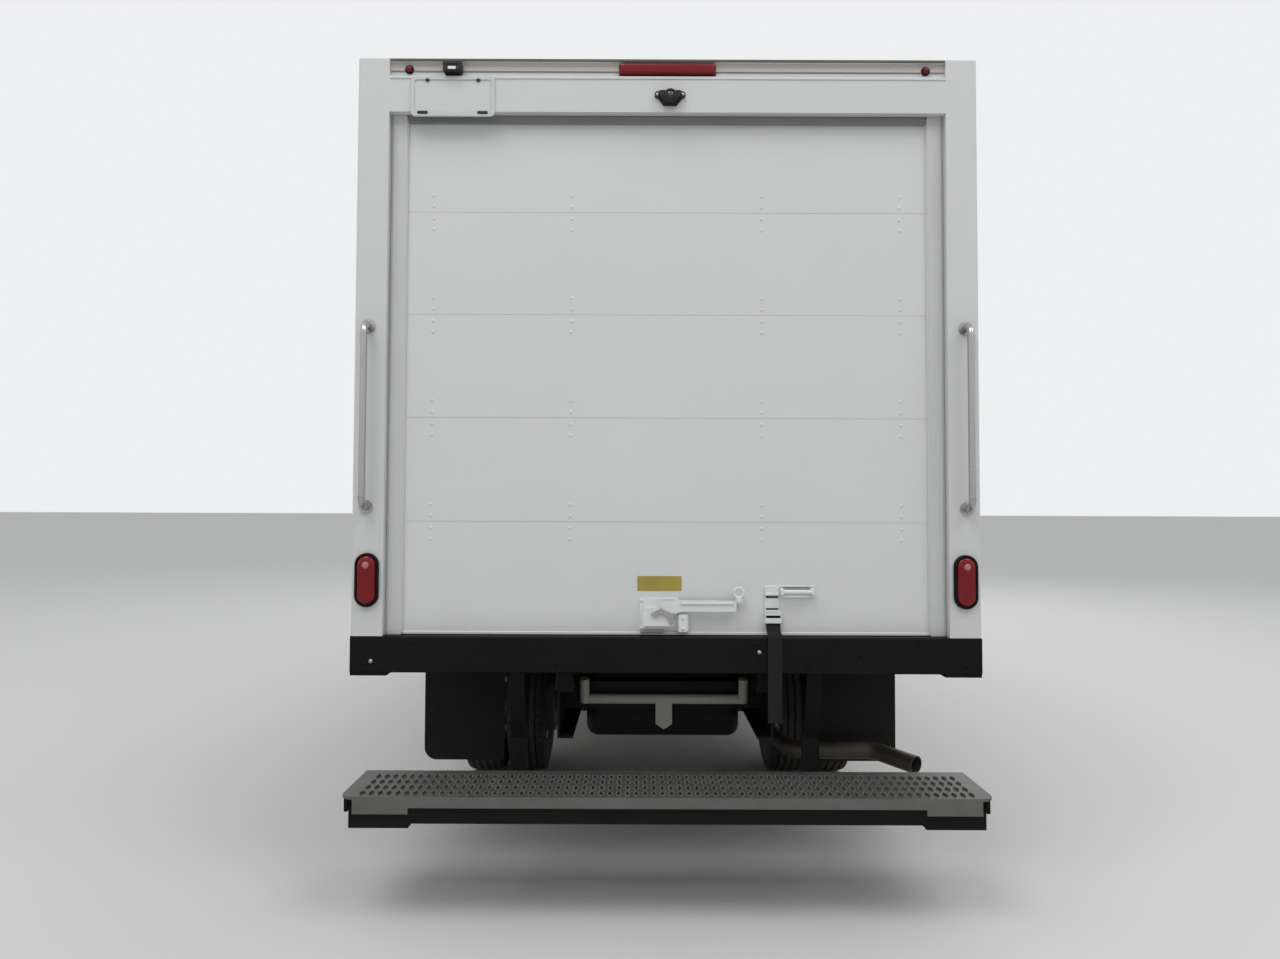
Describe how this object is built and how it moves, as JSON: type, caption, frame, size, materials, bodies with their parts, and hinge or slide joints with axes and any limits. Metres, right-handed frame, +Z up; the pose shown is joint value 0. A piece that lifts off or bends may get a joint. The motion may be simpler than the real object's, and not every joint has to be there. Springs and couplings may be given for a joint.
{
  "type": "box truck with roll-up rear door",
  "caption": "White box truck with a low tilting cab over the front axle, twin rear wheels, a roll-up rear door and a grip-tread rear step.",
  "frame": {"origin": "on the ground under the middle of the truck", "axes": "+Y forward, +X to the truck's right, +Z up"},
  "size_m": [2.7, 6.98, 3.276],
  "materials": {
    "white_paint": "gloss white paint",
    "body_white": "white painted panel",
    "door_white": "white painted door",
    "black_paint": "black chassis paint",
    "deck_wood": "oiled hardwood boards",
    "galvanised": "galvanised, dull",
    "stainless": "polished tube",
    "pale_steel": "pale bar, weathered",
    "rubber": "black rubber",
    "strap": "woven webbing",
    "lens": "red lens",
    "clear_plastic": "clear holder",
    "black_plastic": "moulded black",
    "grey_plastic": "moulded grey",
    "tyre": "tyre rubber",
    "wheel_steel": "white wheel paint",
    "cast": "cast, dull",
    "exhaust_steel": "heat stained",
    "glass": "clear glass",
    "lamp_clear": "clear lamp",
    "seat_fabric": "grey cloth"
  },
  "bodies": {
    "chassis": {"chassis_rails": "black_paint", "rear_sill": "black_paint", "van_floor": "deck_wood", "cross_sills": "black_paint", "long_sills": "black_paint", "van_wall_right": "body_white", "van_wall_left": "body_white", "van_front_wall": "body_white", "van_roof": "body_white", "rear_door_frame": "white_paint", "roll_up_door": "door_white", "door_tracks": "door_white", "door_hardware": "white_paint", "pull_strap": "strap", "grab_handles": "stainless", "tail_lamps": "lens", "top_lamps": "lens", "header_fittings": "clear_plastic", "step_tread": "galvanised", "step_frame": "black_paint", "step_hangers": "black_paint", "mud_flaps": "rubber", "cross_bar": "pale_steel", "fuel_tank": "black_paint", "exhaust": "exhaust_steel", "rear_axle": "cast", "driveshaft": "cast", "leaf_springs": "black_paint", "front_axle": "cast", "engine": "cast", "battery_box": "black_plastic", "front_bumper": "white_paint"},
    "cab": {"cab_frame": "white_paint", "cab_roof": "white_paint", "cab_nose": "white_paint", "cab_glass": "glass", "steps_and_arches": "black_plastic", "grille": "grey_plastic", "headlamps": "lamp_clear", "wipers": "black_plastic", "dashboard": "grey_plastic", "seats": "seat_fabric", "mirrors": "black_plastic"},
    "steering_wheel": {"steering_wheel": "black_plastic"},
    "tie_rod": {"tie_rod": "cast"},
    "door_left": {"door_left": "white_paint", "door_glass_left": "glass"},
    "knuckle_left": {"knuckle_left": "cast"},
    "front_wheel_left": {"front_tyre_left": "tyre", "front_rim_left": "wheel_steel"},
    "rear_wheels_left": {"rear_tyres_left": "tyre", "rear_rims_left": "wheel_steel"},
    "door_right": {"door_right": "white_paint", "door_glass_right": "glass"},
    "knuckle_right": {"knuckle_right": "cast"},
    "front_wheel_right": {"front_tyre_right": "tyre", "front_rim_right": "wheel_steel"},
    "rear_wheels_right": {"rear_tyres_right": "tyre", "rear_rims_right": "wheel_steel"}
  },
  "joints": [
    {"name": "cab_tilt", "type": "hinge", "parent": "chassis", "child": "cab", "pos_m": [0, 3.31, 0.65], "axis": [-1, 0, 0], "range_deg": [0, 45]},
    {"name": "cab_door_left", "type": "hinge", "parent": "cab", "child": "door_left", "pos_m": [-1.024, 3.26, 1.3], "axis": [0, 0, -1], "range_deg": [0, 70]},
    {"name": "steer_left", "type": "hinge", "parent": "chassis", "child": "knuckle_left", "pos_m": [-0.705, 2.38, 0.386], "axis": [0, 0, 1], "range_deg": [-35, 35]},
    {"name": "front_wheel_left_spin", "type": "hinge", "parent": "knuckle_left", "child": "front_wheel_left", "pos_m": [-0.832, 2.38, 0.386], "axis": [1, 0, 0], "continuous": true},
    {"name": "rear_wheels_left_spin", "type": "hinge", "parent": "chassis", "child": "rear_wheels_left", "pos_m": [-0.847, -1.43, 0.386], "axis": [1, 0, 0], "continuous": true},
    {"name": "cab_door_right", "type": "hinge", "parent": "cab", "child": "door_right", "pos_m": [1.024, 3.26, 1.3], "axis": [0, 0, 1], "range_deg": [0, 70]},
    {"name": "steer_right", "type": "hinge", "parent": "chassis", "child": "knuckle_right", "pos_m": [0.705, 2.38, 0.386], "axis": [0, 0, 1], "range_deg": [-35, 35]},
    {"name": "front_wheel_right_spin", "type": "hinge", "parent": "knuckle_right", "child": "front_wheel_right", "pos_m": [0.832, 2.38, 0.386], "axis": [1, 0, 0], "continuous": true},
    {"name": "rear_wheels_right_spin", "type": "hinge", "parent": "chassis", "child": "rear_wheels_right", "pos_m": [0.847, -1.43, 0.386], "axis": [1, 0, 0], "continuous": true},
    {"name": "tie_rod_swing", "type": "hinge", "parent": "knuckle_left", "child": "tie_rod", "pos_m": [-0.705, 2.2, 0.25], "axis": [0, 0, 1], "range_deg": [-35, 35]},
    {"name": "steering_wheel_turn", "type": "hinge", "parent": "cab", "child": "steering_wheel", "pos_m": [-0.43, 2.945, 1.282], "axis": [0, -0.817, 0.5767], "range_deg": [-560, 560]}
  ],
  "couplings": [
    {"joint": "steer_right", "follows": "steer_left", "ratio": 1},
    {"joint": "tie_rod_swing", "follows": "steer_left", "ratio": -1},
    {"joint": "steering_wheel_turn", "follows": "steer_left", "ratio": 16}
  ]
}
